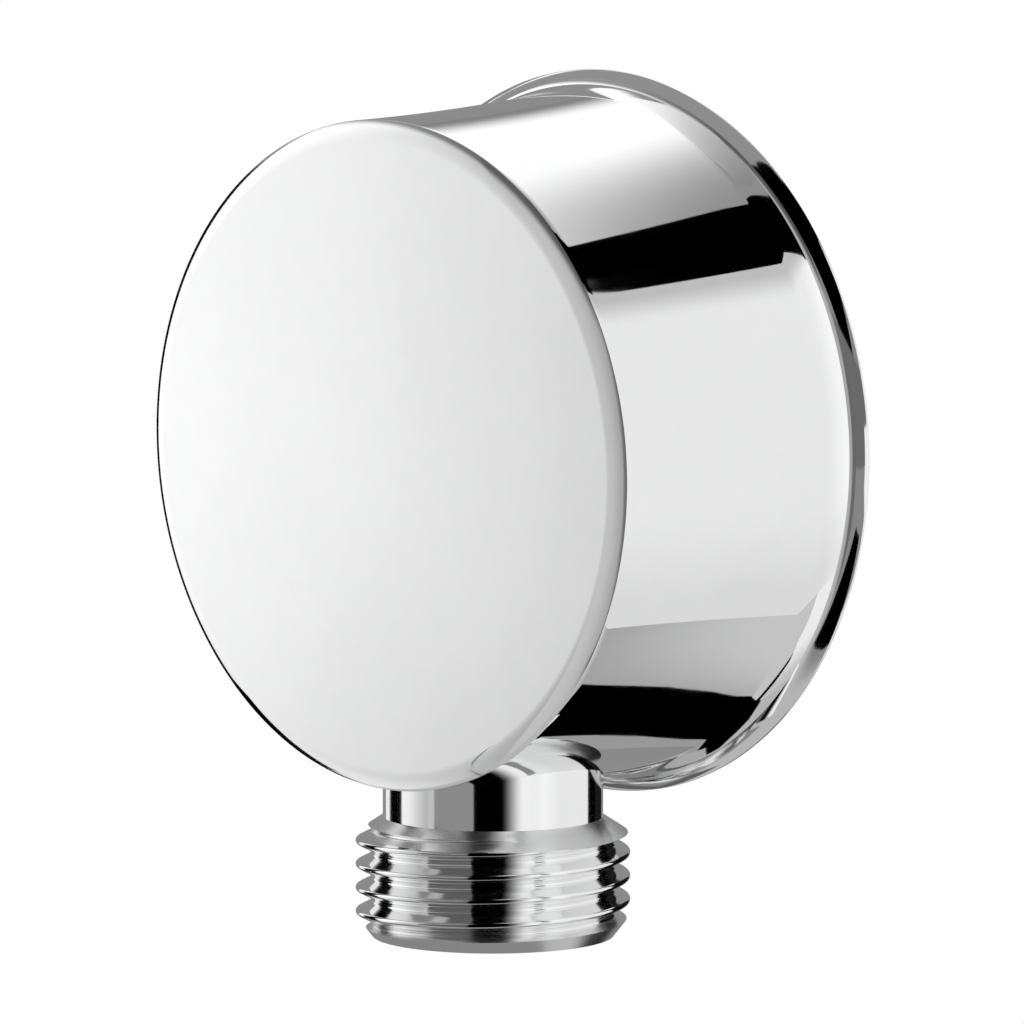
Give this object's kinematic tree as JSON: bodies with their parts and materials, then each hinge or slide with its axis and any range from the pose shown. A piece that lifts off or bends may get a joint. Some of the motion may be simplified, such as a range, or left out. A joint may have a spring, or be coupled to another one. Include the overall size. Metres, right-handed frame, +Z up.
{
  "type": "wall outlet elbow",
  "caption": "Round chromed wall outlet that turns water from a wall pipe down into a shower hose: hollow drum with thin flange, threaded hose nipple below, threaded inlet behind.",
  "frame": {"origin": "on the inlet axis, in the plane where the flange meets the wall", "axes": "+Z up, +Y into the wall along the inlet, the front faces -Y and the hose outlet points down, -Z"},
  "size_m": [0.0556, 0.0363, 0.0654],
  "materials": {
    "chrome": "mirror polish",
    "brass": "turned, bare",
    "rubber": "matt"
  },
  "bodies": {
    "root": {"body": "chrome", "outlet_nipple": "chrome", "inlet_nipple": "brass", "outlet_o_ring": "rubber"}
  },
  "joints": []
}
